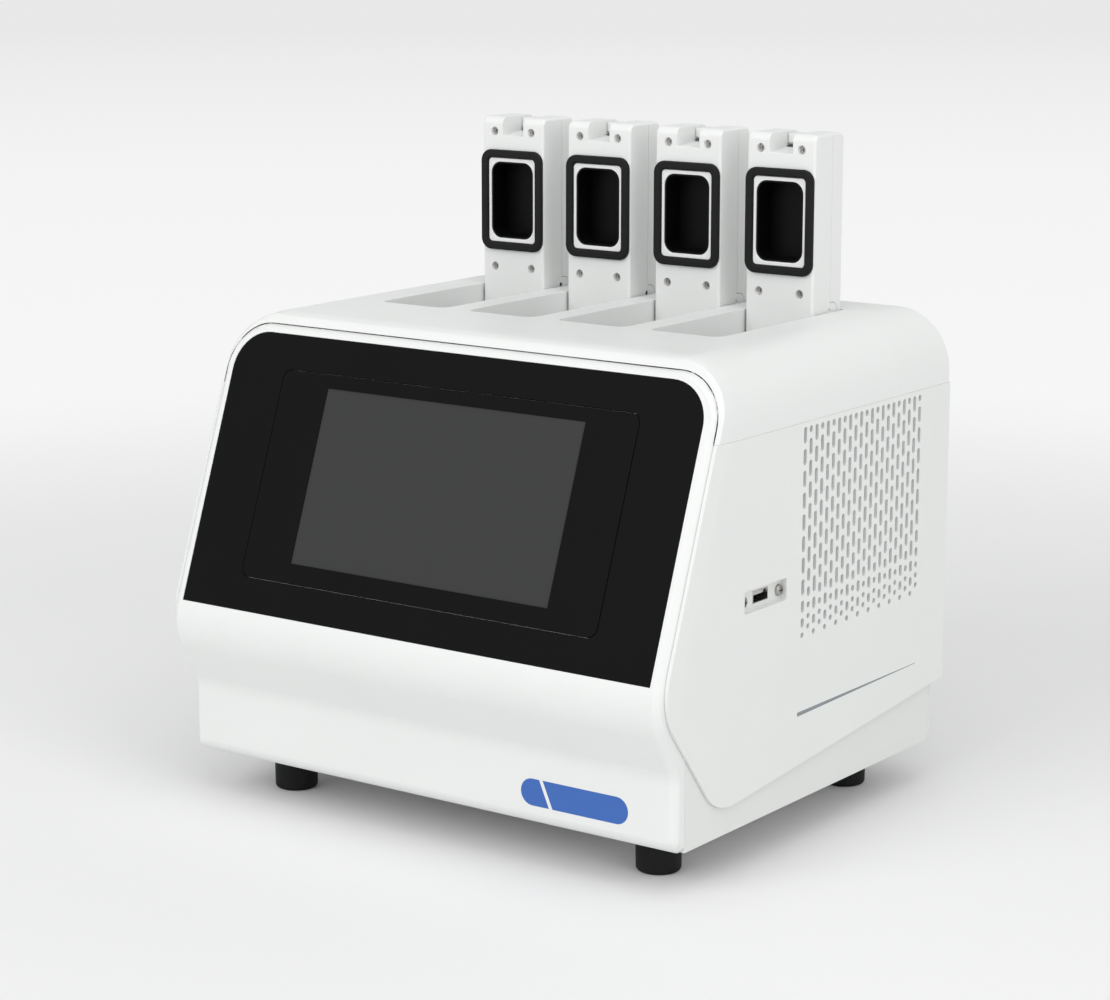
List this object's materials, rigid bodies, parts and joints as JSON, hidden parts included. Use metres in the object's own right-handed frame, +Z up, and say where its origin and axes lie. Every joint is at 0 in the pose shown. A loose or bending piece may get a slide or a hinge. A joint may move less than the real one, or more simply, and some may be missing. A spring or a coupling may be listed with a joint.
{
  "type": "real-time PCR machine",
  "caption": "Benchtop real-time PCR machine: white rounded case, leaning black touch-screen front, hinged module lids standing open over sample bays, slotted side vent, rubber feet.",
  "frame": {"origin": "middle of the case seen from above, on the bench under the feet", "axes": "+X to the machine's right as seen from the front, +Y to its back, +Z up"},
  "size_m": [0.298, 0.2566, 0.3322],
  "materials": {
    "white_plastic": "satin white moulding",
    "white_metal": "white powder coat, fine texture",
    "grey_metal": "light grey powder coat",
    "black_panel": "satin black",
    "screen": "dark touch glass, switched off",
    "lcd": "display module case",
    "black_rubber": "matt black",
    "steel": "bright steel",
    "aluminium": "machined",
    "black_aluminium": "black anodised",
    "ceramic": "white ceramic",
    "circuit_board": "green solder mask",
    "black_plastic": "black moulding"
  },
  "bodies": {
    "machine": {"front_fascia": "white_plastic", "display_surround": "black_panel", "touch_bezel": "black_panel", "touch_screen": "screen", "lcd_module": "lcd", "top_cover": "white_plastic", "right_side_panel": "white_metal", "left_side_panel": "white_metal", "base_chassis": "white_metal", "rear_panel": "white_metal", "feet": "black_rubber", "usb_socket": "steel", "usb_bracket": "white_metal", "bay_deck": "grey_metal", "sample_block_1": "aluminium", "sample_block_2": "aluminium", "sample_block_3": "aluminium", "sample_block_4": "aluminium", "peltiers": "ceramic", "heat_sinks": "aluminium", "module_plate": "grey_metal", "frame_cheek_left": "grey_metal", "frame_cheek_right": "grey_metal", "hinge_posts": "aluminium", "hinge_rod": "steel", "latch_strikes": "steel", "control_board": "circuit_board", "board_standoffs": "steel", "power_supply": "aluminium", "power_inlet": "black_plastic", "switch_body": "black_plastic", "fan_frame": "black_plastic"},
    "fan_rotor": {"fan_rotor": "black_plastic"},
    "power_rocker": {"power_rocker": "black_plastic"},
    "lid_1": {"lid_inner_1": "white_plastic", "lid_outer_1": "white_plastic", "lid_gasket_1": "black_rubber", "lid_heater_1": "black_aluminium", "lid_board_1": "circuit_board"},
    "latch_1": {"latch_button_1": "white_plastic"},
    "lid_2": {"lid_inner_2": "white_plastic", "lid_outer_2": "white_plastic", "lid_gasket_2": "black_rubber", "lid_heater_2": "black_aluminium", "lid_board_2": "circuit_board"},
    "latch_2": {"latch_button_2": "white_plastic"},
    "lid_3": {"lid_inner_3": "white_plastic", "lid_outer_3": "white_plastic", "lid_gasket_3": "black_rubber", "lid_heater_3": "black_aluminium", "lid_board_3": "circuit_board"},
    "latch_3": {"latch_button_3": "white_plastic"},
    "lid_4": {"lid_inner_4": "white_plastic", "lid_outer_4": "white_plastic", "lid_gasket_4": "black_rubber", "lid_heater_4": "black_aluminium", "lid_board_4": "circuit_board"},
    "latch_4": {"latch_button_4": "white_plastic"}
  },
  "joints": [
    {"name": "lid_1_hinge", "type": "hinge", "parent": "machine", "child": "lid_1", "pos_m": [-0.08226, 0.08813, 0.2325], "axis": [1, 0, 0], "range_deg": [0, 90]},
    {"name": "latch_1_slide", "type": "slide", "parent": "lid_1", "child": "latch_1", "axis": [0, 0, 1], "range_m": [0, 0.0018], "stiffness_N_per_m": 300, "springref_m": -0.001},
    {"name": "lid_2_hinge", "type": "hinge", "parent": "machine", "child": "lid_2", "pos_m": [-0.02742, 0.08813, 0.2325], "axis": [1, 0, 0], "range_deg": [0, 90]},
    {"name": "latch_2_slide", "type": "slide", "parent": "lid_2", "child": "latch_2", "axis": [0, 0, 1], "range_m": [0, 0.0018], "stiffness_N_per_m": 300, "springref_m": -0.001},
    {"name": "lid_3_hinge", "type": "hinge", "parent": "machine", "child": "lid_3", "pos_m": [0.02742, 0.08813, 0.2325], "axis": [1, 0, 0], "range_deg": [0, 90]},
    {"name": "latch_3_slide", "type": "slide", "parent": "lid_3", "child": "latch_3", "axis": [0, 0, 1], "range_m": [0, 0.0018], "stiffness_N_per_m": 300, "springref_m": -0.001},
    {"name": "lid_4_hinge", "type": "hinge", "parent": "machine", "child": "lid_4", "pos_m": [0.08226, 0.08813, 0.2325], "axis": [1, 0, 0], "range_deg": [0, 90]},
    {"name": "latch_4_slide", "type": "slide", "parent": "lid_4", "child": "latch_4", "axis": [0, 0, 1], "range_m": [0, 0.0018], "stiffness_N_per_m": 300, "springref_m": -0.001},
    {"name": "fan_spin", "type": "hinge", "parent": "machine", "child": "fan_rotor", "pos_m": [0, 0.1113, 0.1455], "axis": [0, 1, 0], "continuous": true},
    {"name": "power_rocker_tilt", "type": "hinge", "parent": "machine", "child": "power_rocker", "pos_m": [-0.054, 0.122, 0.0565], "axis": [1, 0, 0], "range_deg": [0, 18]}
  ]
}
